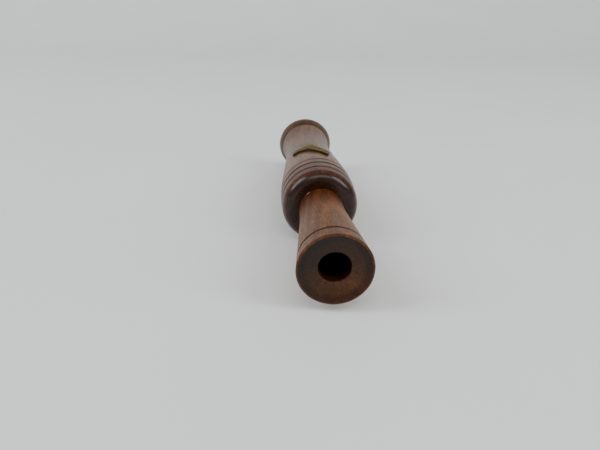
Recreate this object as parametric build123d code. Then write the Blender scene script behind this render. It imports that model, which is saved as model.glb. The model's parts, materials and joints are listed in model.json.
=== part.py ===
from build123d import *
import math
import os

# A wooden duck call lying on its side, in millimetres.
# The call's axis runs along Y: exhaust end at -Y, mouthpiece at +Y. The floor is z = 0.
# Places along the call are stations, measured from the exhaust rim towards the mouthpiece.

# ---- driving dimensions ----
LENGTH = 150.4                 # exhaust rim to mouthpiece end
SHOULDER_R = 15.7              # the barrel at its widest, which rests on the floor
JOINT_STATION = 49.8           # where the stopper's neck meets the barrel

RIM_R = 12.5                   # stopper's exhaust rim
NECK_R = 8.85                  # stopper beside the barrel
EXHAUST_BORE_R = 5.35
DISH_DEPTH = 2.2               # the hollow of the exhaust face
RIM_ROUND = 0.7

BARREL_FACE_R = 11.4           # flat part of the barrel's near face
SHOULDER_ROUND_LENGTH = 4.8
SHOULDER_ROUND_R = 15.45       # radius that the rounding reaches
CREST_STATION = 61.5           # the barrel's widest place
WAIST_R = 11.7
LIP_R = 14.8
LIP_CREASE_STATION = 143.4     # a crisp line where the body turns into the lip
LIP_CREASE_R = 12.9
LIP_ROUND = 1.0
CHAMBER_R = 8.0                # straight bore that takes the stopper
CHAMBER_END_STATION = 119.0
MOUTH_BORE_R = 6.4
MOUTH_BORE_STATION = 122.0     # where the narrower mouth bore starts
MOUTH_FLARE = 2.4              # rounding of the mouth bore's edge

TENON_LENGTH = 18.5
TENON_COLLAR_R = 7.9
CORK_SEAT_R = 7.0
CORK_R = 7.95
CORK_START = 2.0               # cork seat, from the joint
CORK_LENGTH = 14.0
RUNNING_GAP = 0.05             # between parts that slide or turn on each other
EDGE_BREAK = 0.25              # sandpapered corners

SHANK_START_STATION = 47.0     # the exhaust bore ends at the shank's seat
SHANK_R = 5.6
SHANK_BORE_R = 3.6
HEAD_R = 7.2
HEAD_LENGTH = 8.7
TONGUE_TIP_STATION = 112.0
BOARD_HEIGHT = 0.6             # reed table above the call's axis
BOARD_SLOPE_DEG = 2.7          # the table falls away under the free reed
SLOT_WALL = 1.7                # end wall behind the keyhole slot
SLOT_WIDTH = 9.2
SLOT_TOP = 4.4                 # above the call's axis
SLOT_CORNER_R = 2.0
CHANNEL_WIDTH = 4.0
CHANNEL_CENTRE_DEPTH = 0.8     # centre of the channel's round floor, below the axis
CHANNEL_END_STATION = 108.5

REED_WIDTH = 9.0
REED_THICKNESS = 0.35
REED_TIP_STATION = 111.2
REED_LIFT = 0.03               # clearance between reed and table
WEDGE_LENGTH = 9.5
HINGE_GAP = 0.02               # between the clamped and the free reed

BADGE_THICKNESS = 1.3
BADGE_CORNER_R = 0.5
PIN_R = 0.45
PIN_DEPTH = 4.0                # of a pin, below the badge's top

# ---- worked out ----
AXIS_HEIGHT = SHOULDER_R
TENON_END = JOINT_STATION + TENON_LENGTH
HEAD_END = TENON_END + HEAD_LENGTH
SLOT_START = TENON_END + SLOT_WALL
WEDGE_START = SLOT_START + RUNNING_GAP * 2
WEDGE_END = WEDGE_START + WEDGE_LENGTH
REED_BOTTOM = BOARD_HEIGHT + REED_LIFT
REED_TOP = REED_BOTTOM + REED_THICKNESS

# Outlines as (radius, station) points. The barrel's runs from its widest place to the
# crease of its lip, and the stopper's from the rim to the joint.
BARREL_OUTLINE = [
    (SHOULDER_R, CREST_STATION),
    (15.55, 69.5),
    (14.65, 82.5),
    (13.1, 101.5),
    (11.95, 118.0),
    (WAIST_R, 128.5),
    (12.0, 135.0),
    (12.5, 139.5),
    (LIP_CREASE_R, LIP_CREASE_STATION),
]
LIP_OUTLINE = [
    (LIP_CREASE_R, LIP_CREASE_STATION),
    (13.75, 145.2),
    (14.45, 147.3),
    (LIP_R, LENGTH - LIP_ROUND),
]
STOPPER_OUTLINE = [(RIM_R, RIM_ROUND), (11.15, 15.0), (10.0, 28.0), (9.05, 40.0), (NECK_R, JOINT_STATION)]

# Turned grooves as (station, width, depth).
BARREL_GROOVES = [(57.75, 0.9, 0.55), (63.0, 1.4, 0.6), (68.2, 1.0, 0.3)]
STOPPER_GROOVES = [(7.05, 1.1, 0.45)]

# The badge is a plain bird in flight, head towards the mouthpiece, in plan (x, station).
BADGE_OUTLINE = [
    (-1.6, 95.4),
    (0.4, 91.0),
    (3.2, 87.0),
    (6.6, 81.8),
    (5.2, 76.6),
    (0.8, 80.8),
    (-3.4, 85.0),
    (-9.8, 87.6),
    (-9.6, 90.2),
    (-6.0, 90.2),
    (-3.5, 92.0),
]
PIN_PLACES = [(-6.4, 88.2), (3.4, 82.2)]


def along(radius_station):
    """A point of an outline, in the XY plane with the call's axis on Y."""
    radius, station = radius_station
    return (radius, station - LENGTH / 2)


def turned(face):
    """Turn a half section about the call's axis and lift it to its height."""
    return Pos(0, 0, AXIS_HEIGHT) * revolve(face, Axis.Y)


def half_section(*edges):
    """The face inside a closed run of edges."""
    return make_face(Curve() + list(edges))


def band(inner_r, outer_r, start, end):
    """A plain turned ring between two stations, or a rod if inner_r is 0."""
    centre = along(((inner_r + outer_r) / 2, (start + end) / 2))
    return turned(Pos(*centre) * Rectangle(outer_r - inner_r, end - start))


def outline_radius(outline, station):
    """Radius of an outline at a station, by straight lines between its points."""
    for (r0, s0), (r1, s1) in zip(outline, outline[1:]):
        if s0 <= station <= s1:
            return r0 + (r1 - r0) * (station - s0) / (s1 - s0)
    raise ValueError(station)


def grooved(section, outline, places):
    """Cut round-floored grooves into a half section."""
    for station, width, depth in places:
        tool_r = (width ** 2 / 4 + depth ** 2) / (2 * depth)
        centre = along((outline_radius(outline, station) + tool_r - depth, station))
        section -= Pos(*centre) * Circle(tool_r)
    return section


def box_between(x_half, start, end, bottom, top):
    """A box centred on the call's plane x = 0, with heights above the call's axis."""
    size = (2 * x_half, end - start, top - bottom)
    centre = (0, (start + end) / 2 - LENGTH / 2, AXIS_HEIGHT + (bottom + top) / 2)
    return Pos(*centre) * Box(*size)


def curve_through(outline):
    """The smooth curve through an outline's points."""
    return Spline(*[along(point) for point in outline])


def barrel_curve():
    """The barrel's long curve, level at its widest place."""
    points = [along(point) for point in BARREL_OUTLINE]
    return Spline(*points, tangents=[(0, 1), (0.1, 1)])


def make_barrel():
    """The turned barrel: shoulder, taper, waist and mouth lip, bored through."""
    face_edge = along((BARREL_FACE_R, JOINT_STATION))
    shoulder_point = (SHOULDER_ROUND_R, JOINT_STATION + SHOULDER_ROUND_LENGTH)
    shoulder_end = along(shoulder_point)
    shoulder = EllipticalCenterArc(
        (BARREL_FACE_R, shoulder_end[1]),
        SHOULDER_ROUND_R - BARREL_FACE_R,
        SHOULDER_ROUND_LENGTH,
        start_angle=270,
        arc_size=90,
    )
    crest = TangentArc(along((SHOULDER_R, CREST_STATION)), shoulder_end, tangent=(0, -1))
    body = barrel_curve()
    lip = curve_through(LIP_OUTLINE)
    lip_edge = along((LIP_R, LENGTH - LIP_ROUND))
    end_edge = along((LIP_R - LIP_ROUND, LENGTH))
    lip_round = RadiusArc(lip_edge, end_edge, -LIP_ROUND)
    flare_out = along((MOUTH_BORE_R + MOUTH_FLARE, LENGTH))
    flare_in = along((MOUTH_BORE_R, LENGTH - MOUTH_FLARE))
    flare = RadiusArc(flare_out, flare_in, MOUTH_FLARE)
    bore = Polyline(
        flare_in,
        along((MOUTH_BORE_R, MOUTH_BORE_STATION)),
        along((CHAMBER_R, CHAMBER_END_STATION)),
        along((CHAMBER_R, JOINT_STATION + EDGE_BREAK)),
        along((CHAMBER_R + EDGE_BREAK, JOINT_STATION)),
        face_edge,
    )
    section = half_section(shoulder, crest, body, lip, lip_round, Line(end_edge, flare_out), flare, bore)
    barrel = turned(grooved(section, [shoulder_point] + BARREL_OUTLINE, BARREL_GROOVES))
    for pin in pin_rods():
        barrel -= pin
    return barrel


def make_stopper():
    """The turned stopper: dished exhaust end, tapering neck and the tenon inside the barrel."""
    shoulder_station = JOINT_STATION - RUNNING_GAP
    outline = STOPPER_OUTLINE[:-1] + [(NECK_R, shoulder_station - EDGE_BREAK)]
    rim = along((RIM_R - RIM_ROUND, 0))
    rim_round = RadiusArc(along((RIM_R, RIM_ROUND)), rim, RIM_ROUND)
    bore_edge = along((EXHAUST_BORE_R, DISH_DEPTH))
    dish_middle = along(((RIM_R - RIM_ROUND + EXHAUST_BORE_R) / 2, DISH_DEPTH * 0.62))
    dish = ThreePointArc(rim, dish_middle, bore_edge)
    seat_start = JOINT_STATION + CORK_START
    seat_end = seat_start + CORK_LENGTH
    tenon = Polyline(
        bore_edge,
        along((EXHAUST_BORE_R, SHANK_START_STATION)),
        along((SHANK_R, SHANK_START_STATION)),
        along((SHANK_R, TENON_END)),
        along((TENON_COLLAR_R - EDGE_BREAK, TENON_END)),
        along((TENON_COLLAR_R, TENON_END - EDGE_BREAK)),
        along((TENON_COLLAR_R, seat_end)),
        along((CORK_SEAT_R, seat_end)),
        along((CORK_SEAT_R, seat_start)),
        along((TENON_COLLAR_R, seat_start)),
        along((TENON_COLLAR_R, shoulder_station)),
        along((NECK_R - EDGE_BREAK, shoulder_station)),
        along((NECK_R, shoulder_station - EDGE_BREAK)),
    )
    section = half_section(curve_through(outline), rim_round, dish, tenon)
    return turned(grooved(section, STOPPER_OUTLINE, STOPPER_GROOVES))


def make_tenon_cork():
    """The cork sleeve that grips the barrel's bore."""
    start = JOINT_STATION + CORK_START + RUNNING_GAP * 2
    end = JOINT_STATION + CORK_START + CORK_LENGTH - RUNNING_GAP * 2
    return band(CORK_SEAT_R + RUNNING_GAP / 2, CORK_R, start, end)


def slot_section(shrink, bottom):
    """The keyhole slot's section, square below and round at its upper corners."""
    height = SLOT_TOP - shrink - bottom
    outline = Pos(0, bottom + height / 2) * Rectangle(SLOT_WIDTH - 2 * shrink, height)
    upper = outline.vertices().sort_by(Axis.Y)[-2:]
    return fillet(upper, SLOT_CORNER_R)


def run_along(section, start, end):
    """Sweep an upright section, drawn across the call, from one station to another."""
    plane = Plane(origin=(0, end - LENGTH / 2, AXIS_HEIGHT), x_dir=(1, 0, 0), z_dir=(0, -1, 0))
    return extrude(plane * section, end - start)


def plan_strip(width, start, end, bottom, top):
    """A flat strip along the call with a fully round end, heights above the call's axis."""
    middle = (start + end - width / 2) / 2
    straight = Pos(0, middle - LENGTH / 2) * Rectangle(width, end - width / 2 - start)
    plan = straight + Pos(0, end - width / 2 - LENGTH / 2) * Circle(width / 2)
    return Pos(0, 0, AXIS_HEIGHT + bottom) * extrude(plan, top - bottom)


def make_tone_board():
    """The hard rubber tone board: shank, keyhole head and half-round tongue with its channel."""
    shank = band(0, SHANK_R, SHANK_START_STATION, TENON_END)
    head = band(0, HEAD_R, TENON_END, HEAD_END)
    tongue = band(0, SHANK_R, HEAD_END, TONGUE_TIP_STATION)
    tongue &= plan_strip(2 * SHANK_R, HEAD_END, TONGUE_TIP_STATION, -HEAD_R, HEAD_R)
    tongue -= box_between(HEAD_R, HEAD_END, TONGUE_TIP_STATION + 1, BOARD_HEIGHT, HEAD_R)
    # The table slopes down under the free reed, hinged just behind where the wedge ends.
    slope_start = WEDGE_END - 0.6
    fall = math.radians(BOARD_SLOPE_DEG)
    run = TONGUE_TIP_STATION + 2 - slope_start
    slope = Plane.YZ * make_face(
        Polyline(
            (slope_start - LENGTH / 2, AXIS_HEIGHT + BOARD_HEIGHT),
            (slope_start + run - LENGTH / 2, AXIS_HEIGHT + BOARD_HEIGHT - run * math.tan(fall)),
            (slope_start + run - LENGTH / 2, AXIS_HEIGHT + HEAD_R),
            (slope_start - LENGTH / 2, AXIS_HEIGHT + HEAD_R),
            close=True,
        )
    )
    tongue -= extrude(slope, HEAD_R, both=True)
    board = shank + head + tongue
    board -= run_along(slot_section(0, BOARD_HEIGHT), SLOT_START, HEAD_END + 1)
    board -= band(0, SHANK_BORE_R, SHANK_START_STATION - 1, SLOT_START + 1)
    channel_r = CHANNEL_WIDTH / 2
    channel_length = CHANNEL_END_STATION - SLOT_START
    channel_middle = (CHANNEL_END_STATION + SLOT_START) / 2 - LENGTH / 2
    channel_floor = Pos(0, channel_middle, AXIS_HEIGHT - CHANNEL_CENTRE_DEPTH) * Rot(90, 0, 0)
    board -= channel_floor * Cylinder(channel_r, channel_length)
    board -= box_between(channel_r, SLOT_START, CHANNEL_END_STATION, -CHANNEL_CENTRE_DEPTH, 2)
    return board


def make_wedge():
    """The cork wedge that holds the reed down in the keyhole slot."""
    return run_along(slot_section(RUNNING_GAP, REED_TOP), WEDGE_START, WEDGE_END)


def make_reed_clamped_end():
    """The part of the reed under the wedge."""
    return box_between(REED_WIDTH / 2, WEDGE_START, WEDGE_END, REED_BOTTOM, REED_TOP)


def make_reed_tongue():
    """The free part of the reed, which flexes."""
    return plan_strip(REED_WIDTH, WEDGE_END + HINGE_GAP, REED_TIP_STATION, REED_BOTTOM, REED_TOP)


def barrel_envelope(offset):
    """The barrel's shape from its widest place to its lip, grown by an offset."""
    outer = Pos(offset, 0) * barrel_curve()
    start, end = outer @ 0, outer @ 1
    rest = Polyline((end.X, end.Y), (0, end.Y), (0, start.Y), (start.X, start.Y))
    return turned(half_section(outer, rest))


def pin_rods():
    """Two short rods square to the barrel, through the badge and into the wood."""
    rods = []
    for x, station in PIN_PLACES:
        surface_r = outline_radius(BARREL_OUTLINE, station)
        lean = math.degrees(math.asin(x / surface_r))
        middle_r = surface_r + BADGE_THICKNESS - PIN_DEPTH / 2
        place = Pos(0, station - LENGTH / 2, AXIS_HEIGHT) * Rot(0, lean, 0) * Pos(0, 0, middle_r)
        rods.append(place * Cylinder(PIN_R, PIN_DEPTH))
    return rods


def make_badge():
    """The brass bird, bent to the barrel and standing proud of it."""
    plan = make_face(Polyline(*[(x, station - LENGTH / 2) for x, station in BADGE_OUTLINE], close=True))
    plan = fillet(plan.vertices(), BADGE_CORNER_R)
    column = Pos(0, 0, AXIS_HEIGHT) * extrude(plan, SHOULDER_R + 2 * BADGE_THICKNESS)
    badge = (column & barrel_envelope(BADGE_THICKNESS)) - barrel_envelope(0)
    for pin in pin_rods():
        badge -= pin
    return badge


def make_badge_pins():
    """The two pins, flush with the badge."""
    return Compound(children=[(rod & barrel_envelope(BADGE_THICKNESS)).solid() for rod in pin_rods()])


PARTS = {
    "barrel": make_barrel,
    "stopper": make_stopper,
    "tenon_cork": make_tenon_cork,
    "tone_board": make_tone_board,
    "wedge": make_wedge,
    "reed_clamped_end": make_reed_clamped_end,
    "reed_tongue": make_reed_tongue,
    "badge": make_badge,
    "badge_pins": make_badge_pins,
}

os.makedirs("parts", exist_ok=True)
for name, make in PARTS.items():
    export_step(make(), f"parts/{name}.step")
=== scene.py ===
import json
import math

import bmesh
import bpy
import numpy as np
from mathutils import Matrix, Vector


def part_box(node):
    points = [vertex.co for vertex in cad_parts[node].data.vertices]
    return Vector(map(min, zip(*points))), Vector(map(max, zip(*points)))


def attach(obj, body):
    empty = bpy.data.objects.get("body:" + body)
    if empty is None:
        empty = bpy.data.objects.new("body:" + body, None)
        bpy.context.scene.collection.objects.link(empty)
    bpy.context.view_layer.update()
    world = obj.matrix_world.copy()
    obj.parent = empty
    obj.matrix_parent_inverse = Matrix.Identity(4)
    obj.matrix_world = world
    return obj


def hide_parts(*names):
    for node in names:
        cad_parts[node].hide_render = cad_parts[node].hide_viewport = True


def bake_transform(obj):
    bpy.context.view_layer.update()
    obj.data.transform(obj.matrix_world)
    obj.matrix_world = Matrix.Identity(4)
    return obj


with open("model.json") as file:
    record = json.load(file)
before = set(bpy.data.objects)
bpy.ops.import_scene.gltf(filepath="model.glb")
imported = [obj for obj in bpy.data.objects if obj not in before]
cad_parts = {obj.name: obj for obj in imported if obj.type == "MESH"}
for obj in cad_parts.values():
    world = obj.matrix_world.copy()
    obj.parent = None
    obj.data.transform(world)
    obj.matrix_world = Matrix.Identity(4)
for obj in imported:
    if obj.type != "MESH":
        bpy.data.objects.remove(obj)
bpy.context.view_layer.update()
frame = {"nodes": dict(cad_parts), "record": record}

# A wooden duck call on its side: exhaust end at -Y, mouthpiece at +Y, floor at z = 0.
# Outlines are (radius, station) in millimetres, as a turner would mark them out. A station
# is the distance along the call from its exhaust rim.

MM = 0.001
SEGMENTS = 144                 # round a turned piece

# ---- places and sizes read from the frame ----
mounts = {mount["name"]: mount for mount in frame["record"]["mounts"]}
barrel_low, barrel_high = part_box("barrel")
stopper_low, stopper_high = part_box("stopper")
cork_low, cork_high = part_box("tenon_cork")
wedge_low, wedge_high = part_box("wedge")
clamped_low, clamped_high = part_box("reed_clamped_end")
_, tongue_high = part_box("reed_tongue")

RIM_Y = stopper_low.y
AXIS_Z = (barrel_low.z + barrel_high.z) / 2


def station_of(y):
    """Station in millimetres of a place along Y in metres."""
    return (y - RIM_Y) / MM


LENGTH = station_of(barrel_high.y)
JOINT = station_of(barrel_low.y)
TENON_END = station_of(stopper_high.y)
SHOULDER_R = (barrel_high.x - barrel_low.x) / 2 / MM
RIM_R = (stopper_high.x - stopper_low.x) / 2 / MM
CORK_R = (cork_high.x - cork_low.x) / 2 / MM
EXHAUST_BORE_R = mounts["exhaust_bore"]["dims"]["r_mm"]
MOUTH_BORE_R = mounts["mouth_bore"]["dims"]["r_mm"]

# ---- the turner's own sizes ----
NECK_R = 8.85
RIM_ROUND = 0.7
DISH_DEPTH = 2.2
DISH_BOW = 0.48                # of the dish's curve, where 0 is a straight cone
BORE_EDGE_ROUND = 0.4
SHANK_START = 47.0
SHANK_R = 5.6
TENON_R = 7.9
CORK_SEAT_R = 7.0
CORK_SEAT_START = JOINT + 2.0
CORK_SEAT_END = JOINT + 16.0
EDGE_BREAK = 0.25              # sandpapered corners
JOINT_GAP = 0.05               # between the stopper's shoulder and the barrel's face

FACE_R = 11.4
SHOULDER_ROUND_LENGTH = 4.8
SHOULDER_ROUND_R = 15.45
CREST = 61.5
LIP_CREASE = 143.4
LIP_CREASE_R = 12.9
LIP_R = 14.8
LIP_ROUND = 1.0
CHAMBER_R = 8.0
CHAMBER_END = 119.0
MOUTH_BORE_START = 122.0
MOUTH_FLARE = 2.4

BODY_OUTLINE = [
    (SHOULDER_R, CREST),
    (15.55, 69.5),
    (14.65, 82.5),
    (13.1, 101.5),
    (11.95, 118.0),
    (11.7, 128.5),
    (12.0, 135.0),
    (12.5, 139.5),
    (LIP_CREASE_R, LIP_CREASE),
]
LIP_OUTLINE = [
    (LIP_CREASE_R, LIP_CREASE),
    (13.75, 145.2),
    (14.45, 147.3),
    (LIP_R, LENGTH - LIP_ROUND),
]
STOPPER_OUTLINE = [(RIM_R, RIM_ROUND), (11.15, 15.0), (10.0, 28.0), (9.05, 40.0), (NECK_R, JOINT)]

# Turned grooves as (station, width, depth).
BARREL_GROOVES = [(57.75, 0.9, 0.55), (63.0, 1.4, 0.6), (68.2, 1.0, 0.3)]
STOPPER_GROOVES = [(7.05, 1.1, 0.45)]
GROOVE_POINTS = 13             # across each groove
GROOVE_MARGIN = 0.6            # of its width, kept free of other points on each side

# Extra rings on flat faces (radii) and in straight bores (stations).
JOINT_FACE_RINGS = (9.6, 10.6)
LIP_FACE_RINGS = (12.6, 11.2, 10.0)
MOUTH_BORE_RINGS = (141.0, 132.0)
CHAMBER_RINGS = (105.0, 90.0, 75.0, 62.0)
EXHAUST_BORE_RINGS = (12.0, 24.0, 36.0)

# ---- cork, wedge and reed ----
CORK_GAP = 0.03                # kept free inside and outside the sleeve's mesh
CORK_EDGE_DROP = 0.25          # from the sleeve's crown to its ends
WEDGE_CORNER = 2.0
REED_TIP_SWEEP = 84            # degrees of the tip's rounding, which at 90 would end in a point
REED_EDGE_INSET = 0.02
REED_EDGE_SHARE = 0.25         # of the strip's thickness, taken off each edge

# The wedge's section along its length, as (share of the length, share of the full size).
WEDGE_SECTIONS = [(0, 0.9), (0.03, 0.97), (0.08, 1), (0.3, 1), (0.55, 1), (0.75, 1)]
WEDGE_SECTIONS += [(0.9, 0.96), (0.97, 0.88), (1.0, 0.78)]

# A plain bird in flight, head towards the mouthpiece, in plan (x, station).
BADGE_OUTLINE = [
    (-1.6, 95.4),
    (0.4, 91.0),
    (3.2, 87.0),
    (6.6, 81.8),
    (5.2, 76.6),
    (0.8, 80.8),
    (-3.4, 85.0),
    (-9.8, 87.6),
    (-9.6, 90.2),
    (-6.0, 90.2),
    (-3.5, 92.0),
]
BADGE_THICKNESS = 1.3
BADGE_FOOT = 0.3               # sunk in the wood
BADGE_CORNER = 0.9             # how far its outline's corners are rounded
BADGE_VOXEL = 0.10             # of the remesh that softens its edges
RELIEF_FLOOR = 0.5             # the relief leaves everything below this height alone

# The bird's relief. Its body leans, and its wings lie lower and are cut with feather lines.
HEAD_X, HEAD_STATION = BADGE_OUTLINE[0]
RIGHT_ROOT_X, RIGHT_ROOT_STATION = BADGE_OUTLINE[5]
LEFT_ROOT_X = BADGE_OUTLINE[6][0]
BODY_LEAN = 0.10
BODY_HALF_WIDTH = 1.25
RIGHT_EDGE = (0.723, -0.690)   # unit direction of the right wing's trailing edge
RIGHT_COVERTS = 3.4            # from that edge to the end of its feather lines
LEFT_EDGE_STATION = 85.2       # of the left wing's trailing edge at its root
LEFT_EDGE_SLOPE = 0.40
LEFT_COVERTS = 1.9
WING_DROP = 0.16
QUILL_AREA_DROP = 0.10
QUILL_AREA_FADE = 0.12
QUILL_SPACING = 1.35           # between the bird's cut feather lines
QUILL_CUT = 0.22
COVERT_CUT = 0.22              # of the line where the feather lines end
COVERT_CUT_WIDTH = 0.28

PIN_PLACES = [(-6.4, 88.2), (3.4, 82.2)]
PIN_R = 0.45
PIN_FOOT = -1.0
PIN_DOME = 0.12
PIN_DOME_START = BADGE_THICKNESS - 2 * PIN_DOME
PIN_DOME_SWEEP = 1.45          # radians, a little under a quarter circle
PIN_HOLE_R = 0.02              # a lathe's outline stays this far off its own axis
PIN_SEGMENTS = 32

# ---- wood ----
RING_SPACING = 0.0031          # of the walnut's growth rings, in metres
RING_WANDER = 0.010            # metres by which the rings stray
RING_RUN = 0.03                # weight in the rings of a distance along the call
GLOSS_DROP = 0.16              # off the roughness where the wood is glossy
AHEAD_OF_JOINT = 48.0          # stations just outside a piece, so that a zone covers its end
AHEAD_OF_RIM = -1.0
PAST_BORE = 60.0

# ---- camera: metres and radians, with its lens and sensor in millimetres ----
CAMERA_SIDE = -0.01929
CAMERA_BACK = 0.12947          # beyond the exhaust rim
CAMERA_UP = 0.07467            # above the call's axis
CAMERA_YAW = math.radians(-3.52)
CAMERA_PITCH = math.radians(24.42)
CAMERA_ROLL = 0.0166
CAMERA_LENS = 29.1
CAMERA_SENSOR = 36.0


# ---------------------------------------------------------------- outlines

def hermite(points):
    """A smooth radius over station through an outline's points."""
    radii = np.array([radius for radius, _ in points])
    stations = np.array([station for _, station in points])
    slopes = np.gradient(radii, stations)

    def radius_at(station):
        i = np.clip(np.searchsorted(stations, station, side="right") - 1, 0, len(stations) - 2)
        span = stations[i + 1] - stations[i]
        t = (station - stations[i]) / span
        start = (1 + 2 * t) * (1 - t) ** 2 * radii[i] + t * (1 - t) ** 2 * span * slopes[i]
        end = t * t * (3 - 2 * t) * radii[i + 1] + t * t * (t - 1) * span * slopes[i + 1]
        return start + end

    return radius_at


def with_grooves(radius_at, grooves):
    """The same radius, with round-floored grooves cut into it."""
    def cut(station):
        radius = radius_at(station)
        for place, width, depth in grooves:
            tool_r = (width ** 2 / 4 + depth ** 2) / (2 * depth)
            inside = np.sqrt(np.maximum(tool_r ** 2 - (station - place) ** 2, 0))
            radius = radius - np.maximum(inside - (tool_r - depth), 0)
        return radius

    return cut


def stations_between(start, end, step, grooves=()):
    """Even stations, with close ones across each groove."""
    places = list(np.linspace(start, end, max(2, round((end - start) / step) + 1)))
    for place, width, _ in grooves:
        places = [s for s in places if abs(s - place) > GROOVE_MARGIN * width]
        places += list(np.linspace(place - width / 2, place + width / 2, GROOVE_POINTS))
    return np.array(sorted(places))


def arc(centre, radii, start_deg, end_deg, count=9):
    """Points on an ellipse's arc; 0 degrees points outwards and 90 towards the mouthpiece."""
    angles = np.radians(np.linspace(start_deg, end_deg, count))
    return [(centre[0] + radii[0] * math.cos(a), centre[1] + radii[1] * math.sin(a))
            for a in angles]


def sampled(radius_at, stations):
    """Outline points at the stations given."""
    return [(float(radius_at(s)), float(s)) for s in stations]


def shoulder_and_crest(station):
    """The barrel's radius from its rounded shoulder up to its widest place."""
    t = (station - JOINT - SHOULDER_ROUND_LENGTH) / (CREST - JOINT - SHOULDER_ROUND_LENGTH)
    return SHOULDER_ROUND_R + (SHOULDER_R - SHOULDER_ROUND_R) * (1 - (1 - t) ** 2)


body_radius = hermite(BODY_OUTLINE)
neck_radius = hermite(STOPPER_OUTLINE)
lip_radius = hermite(LIP_OUTLINE)


# ---------------------------------------------------------------- mesh tools

def linked(name, data):
    """A new object in the scene."""
    obj = bpy.data.objects.new(name, data)
    bpy.context.scene.collection.objects.link(obj)
    return obj


def new_object(name, vertices, faces, smooth_deg=35):
    """A mesh object in metres, smooth except where it turns sharply."""
    mesh = bpy.data.meshes.new(name)
    mesh.from_pydata([tuple(v) for v in vertices], [], [tuple(f) for f in faces])
    work = bmesh.new()
    work.from_mesh(mesh)
    bmesh.ops.recalc_face_normals(work, faces=work.faces)
    work.to_mesh(mesh)
    work.free()
    mesh.shade_smooth()
    mesh.set_sharp_from_angle(angle=math.radians(smooth_deg))
    return linked(name, mesh)


def lathe(name, loop, place=None, segments=SEGMENTS):
    """Turn a closed outline about the call's axis, or about another axis given by place."""
    place = place or Matrix.Translation((0, RIM_Y, AXIS_Z))
    vertices, faces = [], []
    for radius, station in loop:
        for k in range(segments):
            angle = 2 * math.pi * k / segments
            point = Vector((radius * math.cos(angle), station, radius * math.sin(angle))) * MM
            vertices.append(place @ point)
    for i in range(len(loop)):
        j = (i + 1) % len(loop)
        for k in range(segments):
            n = (k + 1) % segments
            faces.append((i * segments + k, j * segments + k, j * segments + n, i * segments + n))
    return new_object(name, vertices, faces)


def bridged(rings, count):
    """Faces that join each ring of count points to the next."""
    faces = []
    for i in range(rings - 1):
        for k in range(count):
            n = (k + 1) % count
            faces.append((i * count + k, i * count + n, (i + 1) * count + n, (i + 1) * count + k))
    return faces


# ---------------------------------------------------------------- the pieces

def make_barrel():
    """Rounded shoulder, three grooves, long taper, waist and flared lip, bored through."""
    crest_groove, body_grooves = BARREL_GROOVES[:1], BARREL_GROOVES[1:]
    crest = with_grooves(shoulder_and_crest, crest_groove)
    body = with_grooves(body_radius, body_grooves)
    round_end = JOINT + SHOULDER_ROUND_LENGTH
    face_radii = (SHOULDER_ROUND_R - FACE_R, SHOULDER_ROUND_LENGTH)
    lip_end = LENGTH - LIP_ROUND
    flare_r = MOUTH_BORE_R + MOUTH_FLARE
    loop = [(CHAMBER_R + EDGE_BREAK, JOINT)]
    loop += [(r, JOINT) for r in JOINT_FACE_RINGS]
    loop += arc((FACE_R, round_end), face_radii, -90, 0, 17)[:-1]
    loop += sampled(crest, stations_between(round_end, CREST, 0.7, crest_groove))[:-1]
    loop += sampled(body, stations_between(CREST, LIP_CREASE, 1.0, body_grooves))[:-1]
    loop += sampled(lip_radius, stations_between(LIP_CREASE, lip_end, 0.6))
    loop += arc((LIP_R - LIP_ROUND, lip_end), (LIP_ROUND, LIP_ROUND), 0, 90)[1:]
    loop += [(r, LENGTH) for r in LIP_FACE_RINGS]
    loop += arc((flare_r, LENGTH - MOUTH_FLARE), (MOUTH_FLARE, MOUTH_FLARE), 90, 180, 11)
    loop += [(MOUTH_BORE_R, s) for s in MOUTH_BORE_RINGS]
    loop += [(MOUTH_BORE_R, MOUTH_BORE_START), (CHAMBER_R, CHAMBER_END)]
    loop += [(CHAMBER_R, s) for s in CHAMBER_RINGS]
    loop += [(CHAMBER_R, JOINT + EDGE_BREAK)]
    return lathe("barrel_turned", loop)


def make_stopper():
    """Flared stopper with a dished exhaust face, a groove, and the tenon that the barrel hides."""
    rim = RIM_R - RIM_ROUND
    shoulder = JOINT - JOINT_GAP
    mouth_r = EXHAUST_BORE_R + BORE_EDGE_ROUND
    # The dish runs from the rim to the bore's rounded edge, and deepens fastest by the rim.
    dish_r = np.linspace(rim, mouth_r, 14)
    inward = (rim - dish_r) / (rim - EXHAUST_BORE_R)
    dish_depth = DISH_DEPTH * (inward + DISH_BOW * inward * (1 - inward))
    loop = [(float(r), float(s)) for r, s in zip(dish_r, dish_depth)]
    edge_centre = (mouth_r, loop[-1][1] + BORE_EDGE_ROUND)
    loop += arc(edge_centre, (BORE_EDGE_ROUND, BORE_EDGE_ROUND), -90, -180, 6)[1:]
    loop += [(EXHAUST_BORE_R, s) for s in EXHAUST_BORE_RINGS]
    loop += [(EXHAUST_BORE_R, SHANK_START), (SHANK_R, SHANK_START), (SHANK_R, TENON_END)]
    loop += [(TENON_R - EDGE_BREAK, TENON_END), (TENON_R, TENON_END - EDGE_BREAK)]
    loop += [(TENON_R, CORK_SEAT_END), (CORK_SEAT_R, CORK_SEAT_END)]
    loop += [(CORK_SEAT_R, CORK_SEAT_START), (TENON_R, CORK_SEAT_START), (TENON_R, shoulder)]
    loop += [(NECK_R - EDGE_BREAK, shoulder)]
    neck = with_grooves(neck_radius, STOPPER_GROOVES)
    neck_end = shoulder - EDGE_BREAK
    from_rim = sampled(neck, stations_between(RIM_ROUND, neck_end, 0.9, STOPPER_GROOVES))
    loop += from_rim[::-1]
    loop += arc((rim, RIM_ROUND), (RIM_ROUND, RIM_ROUND), 0, -90, 8)[1:-1]
    return lathe("stopper_turned", loop)


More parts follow.
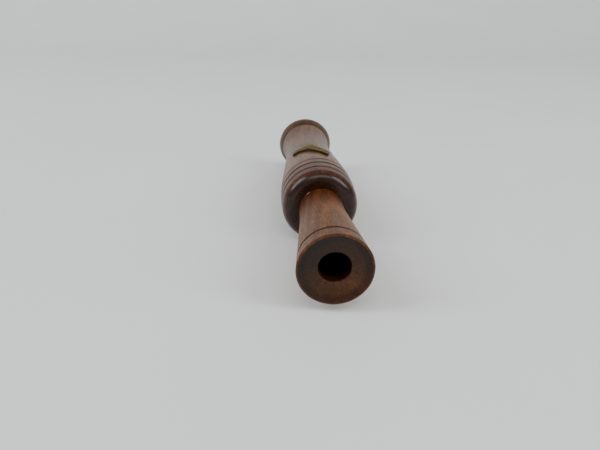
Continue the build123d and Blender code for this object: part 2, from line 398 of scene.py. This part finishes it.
def make_cork_sleeve():
    """The cork round the tenon, slightly crowned, with soft edges."""
    start, end = station_of(cork_low.y), station_of(cork_high.y)
    inner_r = CORK_SEAT_R + CORK_GAP
    crown = [(CORK_R - CORK_GAP - CORK_EDGE_DROP * abs(2 * t - 1) ** 8, start + t * (end - start))
             for t in np.linspace(0.02, 0.98, 40)]
    loop = [(inner_r, start)] + crown + [(inner_r, end)]
    return lathe("cork_sleeve", loop)


def make_wedge():
    """A cork block with rounded upper corners and a sloping front."""
    half, height = wedge_high.x, wedge_high.z - wedge_low.z
    corner = WEDGE_CORNER * MM
    right = [(half, 0.0), (half, (height - corner) / 2)]
    right += [(half - corner + corner * math.cos(a), height - corner + corner * math.sin(a))
              for a in np.linspace(0, math.pi / 2, 8)]
    section = right + [(0.0, height)] + [(-x, z) for x, z in reversed(right)]
    length = wedge_high.y - wedge_low.y
    vertices = []
    for t, size in WEDGE_SECTIONS:
        y = wedge_low.y + t * length
        # The section narrows half as much as it sinks.
        vertices += [(x * (0.5 + size / 2), y, wedge_low.z + z * size) for x, z in section]
    count = len(section)
    last = len(vertices) - count
    faces = bridged(len(WEDGE_SECTIONS), count)
    faces += [tuple(range(count)), tuple(range(last, last + count))]
    return new_object("wedge_cork", vertices, faces)


def make_reed():
    """One thin strip from under the wedge to its rounded tip."""
    half = clamped_high.x
    start, tip = clamped_low.y, tongue_high.y
    bottom, top = clamped_low.z, clamped_high.z
    shape = [(start + t * (tip - half - start), half) for t in np.linspace(0, 1, 44)]
    shape += [(tip - half + half * math.sin(a), half * math.cos(a))
              for a in np.linspace(0, math.radians(REED_TIP_SWEEP), 16)[1:]]
    across = np.linspace(-1, 1, 11)
    edge = REED_EDGE_SHARE * (top - bottom)
    vertices = []
    for y, half_here in shape:
        for side, z, edge_z in ((across, top, top - edge), (across[::-1], bottom, bottom + edge)):
            for u in side:
                if abs(u) == 1:
                    vertices.append((u * (half_here - REED_EDGE_INSET * MM), y, edge_z))
                else:
                    vertices.append((u * half_here, y, z))
    ring = 2 * len(across)
    faces = bridged(len(shape), ring)
    for base in (0, len(vertices) - ring):
        for k in range(len(across) - 1):
            faces.append((base + k, base + k + 1, base + ring - 2 - k, base + ring - 1 - k))
    return new_object("reed_strip", vertices, faces, 60)


def on_barrel(x, station, height):
    """The place in metres that lies height millimetres above the barrel's surface."""
    radius = float(body_radius(station)) + height
    return Vector((x * MM, RIM_Y + station * MM, AXIS_Z + math.sqrt(radius ** 2 - x ** 2) * MM))


def rounded_outline(outline, size):
    """A closed plan outline with each corner rounded by a short curve."""
    longest = 0.45             # a corner's curve takes no more of a side than this share
    points = []
    for i, corner in enumerate(outline):
        here = Vector(corner)
        before, after = Vector(outline[i - 1]), Vector(outline[(i + 1) % len(outline)])
        reach_in = min(size, (before - here).length * longest)
        reach_out = min(size, (after - here).length * longest)
        a = here + (before - here).normalized() * reach_in
        b = here + (after - here).normalized() * reach_out
        for t in np.linspace(0, 1, 5):
            points.append(a * (1 - t) ** 2 + here * 2 * t * (1 - t) + b * t * t)
    return points


def badge_relief(x, station):
    """Height of the bird's modelling below its plain top, in millimetres."""
    off_body = x - HEAD_X + BODY_LEAN * (HEAD_STATION - station)
    body = math.exp(-(off_body / BODY_HALF_WIDTH) ** 2)
    if off_body > 0:
        # Right wing: along its trailing edge, and across it from that edge.
        dx, ds = x - RIGHT_ROOT_X, station - RIGHT_ROOT_STATION
        along_wing = RIGHT_EDGE[0] * dx + RIGHT_EDGE[1] * ds
        across_wing = RIGHT_EDGE[0] * ds - RIGHT_EDGE[1] * dx
        coverts = RIGHT_COVERTS
    else:
        along_wing = -x
        across_wing = station - LEFT_EDGE_STATION + LEFT_EDGE_SLOPE * (x - LEFT_ROOT_X)
        coverts = LEFT_COVERTS
    quill_area = 1 / (1 + math.exp((across_wing - coverts) / QUILL_AREA_FADE))
    quills = max(0.0, math.sin(along_wing * 2 * math.pi / QUILL_SPACING)) ** 4
    line = math.exp(-((across_wing - coverts) / COVERT_CUT_WIDTH) ** 2)
    wing = -WING_DROP - quill_area * (QUILL_AREA_DROP + QUILL_CUT * quills) - COVERT_CUT * line
    return wing * (1 - body)


def make_badge_blank():
    """The bird as a flat plate in plan, in metres, with its edges softened by a voxel remesh."""
    plan = rounded_outline(BADGE_OUTLINE, BADGE_CORNER)
    work = bmesh.new()
    low = [work.verts.new((p.x * MM, p.y * MM, -BADGE_FOOT * MM)) for p in plan]
    face = work.faces.new(low)
    grown = bmesh.ops.extrude_face_region(work, geom=[face])
    for element in grown["geom"]:
        if isinstance(element, bmesh.types.BMVert):
            element.co.z = BADGE_THICKNESS * MM
    bmesh.ops.recalc_face_normals(work, faces=work.faces)
    bmesh.ops.triangulate(work, faces=work.faces)
    mesh = bpy.data.meshes.new("badge_rough")
    work.to_mesh(mesh)
    work.free()
    rough = linked("badge_rough", mesh)
    remesh = rough.modifiers.new("remesh", "REMESH")
    remesh.mode = "VOXEL"
    remesh.voxel_size = BADGE_VOXEL * MM
    soften = rough.modifiers.new("soften", "SMOOTH")
    soften.iterations = 5
    soften.factor = 0.5
    bpy.context.view_layer.update()
    evaluated = rough.evaluated_get(bpy.context.evaluated_depsgraph_get())
    blank = bpy.data.meshes.new_from_object(evaluated)
    bpy.data.objects.remove(rough)
    return blank


def make_badge():
    """The bird, cast in brass: bent to the barrel, with soft edges and cut feather lines."""
    mesh = make_badge_blank()
    for vertex in mesh.vertices:
        x, station, height = vertex.co.x / MM, vertex.co.y / MM, vertex.co.z / MM
        if height > RELIEF_FLOOR:
            height += badge_relief(x, station)
        vertex.co = on_barrel(x, station, height)
    mesh.shade_smooth()
    return linked("badge_bird", mesh)


def make_pin(index, x, station):
    """A brass pin through the badge, with a low domed head."""
    foot = on_barrel(x, station, 0)
    centre = Vector((0, foot.y, AXIS_Z))
    out = (foot - centre).normalized()
    turn = Vector((0, 1, 0)).rotation_difference(out).to_matrix().to_4x4()
    place = Matrix.Translation(foot) @ turn
    dome = [(PIN_R * math.cos(a), PIN_DOME_START + PIN_DOME * math.sin(a))
            for a in np.linspace(0, PIN_DOME_SWEEP, 7)]
    foot_rings = [(PIN_HOLE_R, PIN_FOOT), (PIN_R, PIN_FOOT)]
    loop = foot_rings + dome + [(PIN_HOLE_R, PIN_DOME_START + PIN_DOME)]
    return lathe(f"badge_pin_{index}", loop, place, PIN_SEGMENTS)


# ---------------------------------------------------------------- materials

class Shader:
    """One material's nodes, made by short calls. A socket given as a value becomes a link."""

    def __init__(self, name):
        self.material = bpy.data.materials.new(name)
        self.material.use_nodes = True
        self.tree = self.material.node_tree
        self.tree.nodes.clear()
        self.surface = self.tree.nodes.new("ShaderNodeBsdfPrincipled")
        output = self.tree.nodes.new("ShaderNodeOutputMaterial")
        self.tree.links.new(self.surface.outputs[0], output.inputs["Surface"])
        self.place = self.add("TexCoord").outputs["Object"]

    def put(self, socket, value):
        """Link a socket to a value that is a socket too, or else set it."""
        if isinstance(value, bpy.types.NodeSocket):
            self.tree.links.new(value, socket)
        else:
            socket.default_value = value

    def add(self, kind, inputs=None, **settings):
        """A new node with its inputs put and its settings made."""
        node = self.tree.nodes.new("ShaderNode" + kind)
        for key, value in settings.items():
            setattr(node, key, value)
        for key, value in (inputs or {}).items():
            self.put(node.inputs[key], value)
        return node

    def finish(self, **inputs):
        """Put the surface's own inputs, and hand the material over."""
        for key, value in inputs.items():
            self.put(self.surface.inputs[key.replace("_", " ")], value)
        return self.material

    def stretched(self, scale, shift=(0, 0, 0)):
        """The object's own coordinates, scaled and then shifted."""
        inputs = {"Vector": self.place, "Scale": scale, "Location": shift}
        return self.add("Mapping", inputs).outputs[0]

    def noise(self, vector, scale, detail=3, rough=0.5):
        inputs = {"Vector": vector, "Scale": scale, "Detail": detail, "Roughness": rough}
        return self.add("TexNoise", inputs).outputs["Fac"]

    def grain(self, across, along, shift=(0, 0, 0), detail=2, rough=0.5):
        """Noise with its own scale, per metre, across the call's axis and along it."""
        return self.noise(self.stretched((across, along, across), shift), 1.0, detail, rough)

    def math(self, operation, a, b=0.0, c=0.0):
        return self.add("Math", {0: a, 1: b, 2: c}, operation=operation).outputs[0]

    def span(self, value, low, high, out_low=0.0, out_high=1.0, smooth=True):
        """A value's stretch from low to high, mapped to another and held at its ends."""
        inputs = {"Value": value, "From Min": low, "From Max": high}
        inputs.update({"To Min": out_low, "To Max": out_high})
        kind = "SMOOTHSTEP" if smooth else "LINEAR"
        return self.add("MapRange", inputs, interpolation_type=kind).outputs[0]

    def mix(self, amount, a, b, blend="MIX"):
        node = self.add("Mix", data_type="RGBA", blend_type=blend)
        self.put(node.inputs[0], amount)
        self.put(node.inputs[6], a)
        self.put(node.inputs[7], b)
        return node.outputs[2]

    def ramp(self, value, *stops):
        """A colour ramp through (position, colour) stops."""
        node = self.add("ValToRGB", {"Fac": value})
        elements = node.color_ramp.elements
        while len(elements) < len(stops):
            elements.new(1.0)
        for element, (position, colour) in zip(elements, stops):
            element.position = position
            element.color = colour
        return node.outputs["Color"]

    def bump(self, height, depth, strength):
        """A normal from a height, with its depth in millimetres."""
        inputs = {"Height": height, "Distance": depth * MM, "Strength": strength}
        return self.add("Bump", inputs).outputs["Normal"]

    def axis(self, name, vector=None):
        return self.add("SeparateXYZ", {"Vector": vector or self.place}).outputs[name]


def rgb(red, green, blue):
    """A colour given as on a screen, 0 to 255, in linear light."""
    def linear(value):
        value /= 255
        return value / 12.92 if value <= 0.04045 else ((value + 0.055) / 1.055) ** 2.4

    return (linear(red), linear(green), linear(blue), 1.0)


class Wood(Shader):
    """Walnut turned along its grain: rings, fibres, short flecks and open pores, under lacquer.

    The pith is a place in metres on the line that its rings lie around. The seed moves its noise.
    """

    def __init__(self, name, dark, middle, light, pith, seed):
        super().__init__(name)
        self.station = self.axis("Y")
        flat = self.stretched((1, 0, 1), (0, 0, -AXIS_Z))
        self.radius = self.add("VectorMath", {0: flat}, operation="LENGTH").outputs["Value"]

        wander = self.grain(26, 7, (seed, seed, 0))
        from_pith = self.add("VectorMath", {0: self.place, 1: pith}, operation="SUBTRACT")
        weights = {0: from_pith.outputs[0], 1: (1, RING_RUN, 1)}
        weighted = self.add("VectorMath", weights, operation="MULTIPLY")
        distance = self.add("VectorMath", {0: weighted.outputs[0]}, operation="LENGTH")
        phase = self.math("MULTIPLY_ADD", wander, RING_WANDER, distance.outputs["Value"])
        rings = self.math("SINE", self.math("MULTIPLY", phase, 2 * math.pi / RING_SPACING))
        self.rings = self.span(rings, -1.0, 1.0)

        self.fibres = self.grain(1500, 75, (0, seed, 0), detail=4, rough=0.6)
        self.streaks = self.grain(330, 14, (seed, 0, 3), detail=3, rough=0.55)
        clouds = self.grain(75, 30, (3, seed, 1), detail=3)
        flecks = self.grain(1900, 420, (seed, 5, 0), rough=0.6)
        pore_noise = self.grain(2600, 190, (seed, 0, seed), detail=1)
        self.pores = self.span(pore_noise, 0.60, 0.70)

        shares = [(self.rings, 0.10), (self.fibres, 0.36), (self.streaks, 0.30), (clouds, 0.30)]
        tone = self.math("MULTIPLY", flecks, 0.62)
        for part, share in shares:
            tone = self.math("MULTIPLY_ADD", part, share, tone)
        darkest, lightest = 0.62, 1.06
        tone = self.span(tone, darkest, lightest, smooth=False)
        self.colour = self.ramp(tone, (0.0, dark), (0.5, middle), (1.0, light))
        self.stain(self.math("MULTIPLY", self.pores, 0.5), dark)
        self.gloss = None          # where the surface is smoother, if anywhere

    def stain(self, amount, colour):
        """Lay a colour over the wood by an amount."""
        self.colour = self.mix(amount, self.colour, colour)

    def deepen(self, amount, factors):
        """Multiply the wood's red, green and blue, so that the grain still shows."""
        multiplied = self.mix(1.0, self.colour, (*factors, 1.0), "MULTIPLY")
        self.colour = self.mix(amount, self.colour, multiplied)

    def zone(self, start, end, soft, strength=1.0, ragged=0.0):
        """The strength between two stations in millimetres, and fading to nothing over soft.

        A ragged zone's ends follow the fibres, by up to half of ragged either way.
        """
        place = self.station
        if ragged:
            off = self.math("SUBTRACT", self.fibres, 0.5)
            place = self.math("MULTIPLY_ADD", off, ragged * MM, place)
        low, high, fade = RIM_Y + start * MM, RIM_Y + end * MM, soft * MM
        rising = self.span(place, low - fade, low)
        falling = self.span(place, high, high + fade, strength, 0.0)
        return self.math("MULTIPLY", rising, falling)

    def within(self, radius, soft):
        """One inside a radius in millimetres about the call's axis, and nothing outside it."""
        return self.span(self.radius, (radius - soft) * MM, radius * MM, 1.0, 0.0)

    def near(self, place, reach):
        """One close to a point in metres, and nothing from a reach in millimetres on."""
        away = self.add("VectorMath", {0: self.place, 1: place}, operation="DISTANCE")
        return self.span(away.outputs["Value"], 0.4 * reach * MM, reach * MM, 1.0, 0.0)

    def varnished(self, low, high, **coat):
        """The finish: pores and fibres in the surface, and a roughness between low and high."""
        fibre_height = self.math("MULTIPLY", self.fibres, 0.5)
        relief = self.math("MULTIPLY_ADD", self.pores, -1.0, fibre_height)
        normal = self.bump(relief, 0.03, 0.45)
        rough = self.span(self.streaks, 0.3, 0.7, low, high)
        if self.gloss is not None:
            rough = self.math("MULTIPLY_ADD", self.gloss, -GLOSS_DROP, rough)
        return self.finish(Base_Color=self.colour, Roughness=rough, Normal=normal, **coat)


def barrel_material():
    """Greyed walnut, redder round the grooves, with painted shade that turns the shoulder nearly
    black and darkens the waist, the bore and the lip's band, whose end grain is darker too.
    """
    wood = Wood(
        "barrel_walnut",
        dark=rgb(63, 36, 20),
        middle=rgb(97, 61, 35),
        light=rgb(128, 87, 56),
        pith=(0.034, 0, -0.02),
        seed=2.3,
    )
    round_the_grooves = wood.zone(54.0, 69.5, soft=3.0, strength=0.9, ragged=2.0)
    # Painted shade on the waist, deepening towards the lip.
    waist = wood.zone(124.0, 143.0, soft=14.0)
    # The lip's band: darker finish on its end grain, and painted shade.
    lip = wood.zone(LIP_CREASE + 0.1, 151.0, soft=0.3, strength=0.95)
    # Painted shade: the shoulder, its round-over and the joint face, nearly black on the joint
    # face.
    shoulder = wood.zone(AHEAD_OF_JOINT, 56.7, soft=0.8, strength=0.9)
    round_over_shade = wood.zone(AHEAD_OF_JOINT, 52.6, soft=3.0)
    joint_face_shade = wood.zone(AHEAD_OF_JOINT, 50.9, soft=1.5)
    wood.deepen(round_the_grooves, (0.79, 0.56, 0.42))
    wood.deepen(waist, (0.83, 0.76, 0.70))
    wood.deepen(lip, (0.56, 0.56, 0.52))
    wood.deepen(shoulder, (0.54, 0.41, 0.36))
    wood.deepen(round_over_shade, (1.0, 0.94, 0.80))
    wood.deepen(joint_face_shade, (0.34, 0.30, 0.34))
    # The grooves are painted dark.
    for place, width, depth in BARREL_GROOVES:
        strength = 0.97 if depth > 0.5 else 0.6    # the shallow groove is darkened less
        start, end = place - 0.50 * width, place + 0.50 * width
        wood.deepen(wood.zone(start, end, 0.35 * width, strength), (0.15, 0.10, 0.10))
    # Painted shade inside the chamber.
    bore = wood.within(CHAMBER_R + 0.4, soft=0.2)
    wood.deepen(bore, (0.40, 0.30, 0.26))
    wood.gloss = wood.zone(AHEAD_OF_JOINT, 52.5, soft=2.0)
    return wood.varnished(
        0.40, 0.50, Coat_Weight=0.20, Coat_Roughness=0.15, Specular_IOR_Level=0.26)


def stopper_material():
    """Lighter, warmer walnut; dark end grain under painted shade and painted light, painted shade
    in the bore, and an orange stain at the joint.
    """
    wood = Wood(
        "stopper_walnut",
        dark=rgb(66, 35, 16),
        middle=rgb(103, 62, 30),
        light=rgb(140, 91, 50),
        pith=(-0.028, 0, -0.05),
        seed=7.1,
    )
    wide_stain = wood.zone(JOINT - 8.0, JOINT + 1, soft=13.0, strength=0.90, ragged=8.0)
    narrow_stain = wood.zone(JOINT - 3.5, JOINT + 1, soft=5.0, strength=0.90, ragged=4.0)
    wood.deepen(wide_stain, (0.78, 0.57, 0.42))
    wood.deepen(narrow_stain, (0.62, 0.48, 0.25))
    chip = (-5.2 * MM, RIM_Y + (JOINT - 0.5) * MM, AXIS_Z + 7.1 * MM)
    wood.stain(wood.near(chip, reach=1.0), rgb(172, 124, 90))
    for place, width, _ in STOPPER_GROOVES:
        start, end = place - 0.65 * width, place + 0.65 * width
        wood.deepen(wood.zone(start, end, 0.45 * width, 0.97), (0.34, 0.22, 0.22))

    # The exhaust face is dark end grain that shows its rings, with painted shade over it, darker on
    # the left, and painted light low down where the dish faces up.
    face = wood.math("MULTIPLY", wood.zone(AHEAD_OF_RIM, 3.2, 0.1), wood.within(12.1, 0.5))
    left = wood.span(wood.axis("X"), -9 * MM, 7 * MM, 1.0, 0.0)
    lower = wood.span(wood.axis("Z"), AXIS_Z - 6 * MM, AXIS_Z + 4 * MM, 1.0, 0.0)
    wood.deepen(face, (0.240, 0.235, 0.240))
    wood.deepen(wood.math("MULTIPLY", face, wood.rings), (0.74, 0.70, 0.68))
    wood.deepen(wood.math("MULTIPLY", face, left), (0.62, 0.66, 0.68))
    # Painted light: the dish's lower half, lit from above and warmed by bounce.
    wood.deepen(wood.math("MULTIPLY", face, lower), (2.35, 2.25, 1.75))

    rim = wood.zone(AHEAD_OF_RIM, 0.7, soft=0.6)
    wood.deepen(rim, (0.54, 0.42, 0.34))
    # Painted shade inside the exhaust bore, darker deeper in.
    bore_wall = wood.within(EXHAUST_BORE_R + 0.3, soft=0.15)
    bore = wood.math("MULTIPLY", bore_wall, wood.zone(3.3, PAST_BORE, soft=0.5))
    deep_in_bore = wood.math("MULTIPLY", bore, wood.zone(9.0, PAST_BORE, soft=5.0))
    wood.deepen(bore, (0.16, 0.07, 0.05))
    wood.deepen(deep_in_bore, (0.1, 0.08, 0.08))
    return wood.varnished(
        0.42, 0.54, Coat_Weight=0.06, Coat_Roughness=0.22, Specular_IOR_Level=0.24)


def cork_material():
    """Pressed cork: pale grains, dark gaps and pits."""
    s = Shader("cork")
    cells = {"Vector": s.place, "Scale": 900.0}
    grains = s.add("TexVoronoi", cells)
    edge = s.add("TexVoronoi", cells, feature="DISTANCE_TO_EDGE")
    tint = s.ramp(
        s.axis("X", grains.outputs["Color"]),
        (0.0, rgb(142, 98, 62)),
        (0.5, rgb(188, 143, 98)),
        (1.0, rgb(214, 172, 124)),
    )
    speck = s.span(s.noise(s.place, 2600, 2), 0.58, 0.68)
    gap = s.span(edge.outputs["Distance"], 0.0, 0.09, 1.0, 0.0)
    shade = s.math("MAXIMUM", s.math("MULTIPLY", gap, 0.6), s.math("MULTIPLY", speck, 0.7))
    colour = s.mix(shade, tint, rgb(74, 44, 26))
    normal = s.bump(s.math("MULTIPLY", shade, -1.0), 0.12, 0.8)
    return s.finish(Base_Color=colour, Roughness=s.span(shade, 0.0, 1.0, 0.78, 0.95), Normal=normal)


def hard_rubber_material():
    """Polished black hard rubber with fine turning marks and a brown cast."""
    s = Shader("hard_rubber")
    marks = s.grain(400, 9000)
    haze = s.noise(s.place, 240)
    colour = s.ramp(haze, (0.3, rgb(18, 16, 15)), (0.75, rgb(38, 31, 26)))
    normal = s.bump(marks, 0.01, 0.35)
    return s.finish(Base_Color=colour, Roughness=s.span(haze, 0.3, 0.7, 0.24, 0.4), Normal=normal)


def reed_material():
    """A honey-coloured plastic strip with lengthwise rubbing marks."""
    s = Shader("reed")
    scratches = s.grain(5200, 160)
    cloud = s.noise(s.place, 180, 2)
    colour = s.ramp(cloud, (0.3, rgb(196, 164, 108)), (0.7, rgb(222, 196, 146)))
    colour = s.mix(s.span(scratches, 0.62, 0.72, 0.0, 0.3), colour, rgb(150, 116, 70))
    normal = s.bump(scratches, 0.01, 0.4)
    return s.finish(Base_Color=colour, Roughness=s.span(cloud, 0.3, 0.7, 0.26, 0.4), Normal=normal)


def brass_material():
    """Old brass: dull olive, worn bright on raised edges and nearly black in cuts, with painted
    shade on its sides.
    """
    s = Shader("brass")
    patina = s.noise(s.place, 600)
    colour = s.ramp(
        patina,
        (0.3, rgb(82, 71, 40)),
        (0.55, rgb(100, 88, 52)),
        (0.8, rgb(117, 103, 62)),
    )
    geometry = s.add("NewGeometry")
    point = geometry.outputs["Pointiness"]
    cut = s.span(point, 0.42, 0.495, 1.0, 0.0)
    colour = s.mix(s.math("MULTIPLY", cut, 0.85), colour, rgb(48, 40, 28))
    worn = s.span(point, 0.505, 0.56)
    colour = s.mix(s.math("MULTIPLY", worn, 0.7), colour, rgb(152, 140, 86))
    # Painted shade on the sides, which turn away from the light above.
    side = s.span(s.axis("Z", geometry.outputs["Normal"]), 0.34, 0.74, 1.0, 0.0)
    colour = s.mix(s.math("MULTIPLY", side, 0.85), colour, rgb(50, 40, 30))
    normal = s.bump(s.noise(s.place, 2400), 0.02, 0.4)
    rough = s.span(patina, 0.3, 0.8, 0.50, 0.36)
    return s.finish(Base_Color=colour, Metallic=0.6, Roughness=rough, Normal=normal,
                    Specular_IOR_Level=0.25, Specular_Tint=(0.70, 0.62, 0.42, 1))


def floor_material():
    """Plain pale paper with the faintest mottling."""
    s = Shader("floor_paper")
    mottle = s.noise(s.place, 9, 2)
    colour = s.ramp(mottle, (0.3, rgb(237, 238, 235)), (0.7, rgb(240, 241, 238)))
    return s.finish(Base_Color=colour, Roughness=0.85)


# ---------------------------------------------------------------- put together

def dress(piece, material, body, slot, *nodes):
    """Give a piece its material and its body, and hide the CAD nodes it stands for. The slot is not
    used.
    """
    piece.data.materials.append(material)
    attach(piece, body)
    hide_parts(*nodes)


cork = cork_material()
brass = brass_material()
dress(make_barrel(), barrel_material(), "barrel", "barrel_walnut", "barrel")
dress(make_stopper(), stopper_material(), "stopper", "stopper_walnut", "stopper")
dress(make_cork_sleeve(), cork, "tenon_cork", "cork", "tenon_cork")
dress(make_wedge(), cork, "wedge", "cork", "wedge")
dress(make_badge(), brass, "barrel", "brass", "badge")
for index, (x, station) in enumerate(PIN_PLACES):
    dress(make_pin(index, x, station), brass, "barrel", "brass", "badge_pins")

reed = make_reed()
reed.data.materials.append(reed_material())
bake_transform(reed)
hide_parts("reed_clamped_end", "reed_tongue")

tone_board = frame["nodes"]["tone_board"]
tone_board.data.materials.clear()
tone_board.data.materials.append(hard_rubber_material())


# ---------------------------------------------------------------- stage, light and camera

def make_stage():
    """A pale sheet that lies flat and curves up far behind the call."""
    front, bend_start, bend_r, top, half_width = -0.9, 0.8, 0.5, 0.9, 1.8
    profile = [(front, 0.0), (0.0, 0.0), (bend_start, 0.0)]
    profile += [(bend_start + bend_r * math.sin(a), bend_r - bend_r * math.cos(a))
                for a in np.linspace(0, math.pi / 2, 14)[1:]]
    profile.append((bend_start + bend_r, top))
    vertices = [(x, y, z) for y, z in profile for x in (-half_width, half_width)]
    faces = [(2 * i, 2 * i + 1, 2 * i + 3, 2 * i + 2) for i in range(len(profile) - 1)]
    stage = new_object("pale_floor", vertices, faces, 60)
    stage.data.materials.append(floor_material())


def area_light(name, place, size, watts, colour):
    """A soft rectangular light that faces the call."""
    data = bpy.data.lights.new(name, "AREA")
    data.shape = "RECTANGLE"
    data.size, data.size_y = size
    data.energy = watts
    data.color = colour
    light = linked(name, data)
    light.location = place
    to_call = Vector((0, 0, AXIS_Z)) - Vector(place)
    light.rotation_euler = to_call.to_track_quat("-Z", "Y").to_euler()


def make_lights():
    """Two tall windows, one on each side, and a wide panel overhead in front."""
    window_size, panel_size = (0.70, 1.3), (1.5, 0.8)
    area_light("left_window", (-1.50, -0.25, 1.20), window_size, 21, (0.91, 0.94, 1.0))
    area_light("right_window", (1.40, -0.80, 1.15), window_size, 20, (0.93, 0.95, 1.0))
    area_light("front_panel", (0.0, -1.00, 1.65), panel_size, 11, (1, 1, 1))


def make_world():
    """Even, faintly green light from the room."""
    world = bpy.data.worlds.new("room")
    world.use_nodes = True
    background = world.node_tree.nodes["Background"]
    background.inputs["Color"].default_value = (0.80, 0.82, 0.80, 1)
    background.inputs["Strength"].default_value = 0.44
    bpy.context.scene.world = world


def make_camera():
    """The camera beyond the exhaust end and above it, a little left of the call's axis."""
    level = math.cos(CAMERA_PITCH)
    forward = Vector((
        -math.sin(CAMERA_YAW) * level,
        math.cos(CAMERA_YAW) * level,
        -math.sin(CAMERA_PITCH),
    ))
    level_right = Vector((math.cos(CAMERA_YAW), math.sin(CAMERA_YAW), 0))
    level_up = level_right.cross(forward)
    right = math.cos(CAMERA_ROLL) * level_right + math.sin(CAMERA_ROLL) * level_up
    up = math.cos(CAMERA_ROLL) * level_up - math.sin(CAMERA_ROLL) * level_right
    turn = Matrix((right, up, -forward)).transposed().to_4x4()
    place = Vector((CAMERA_SIDE, RIM_Y - CAMERA_BACK, AXIS_Z + CAMERA_UP))
    data = bpy.data.cameras.new("camera")
    data.sensor_width = CAMERA_SENSOR
    data.lens = CAMERA_LENS
    data.clip_start = 0.01
    camera = linked("camera", data)
    camera.matrix_world = Matrix.Translation(place) @ turn
    bpy.context.scene.camera = camera


make_stage()
make_lights()
make_world()
make_camera()
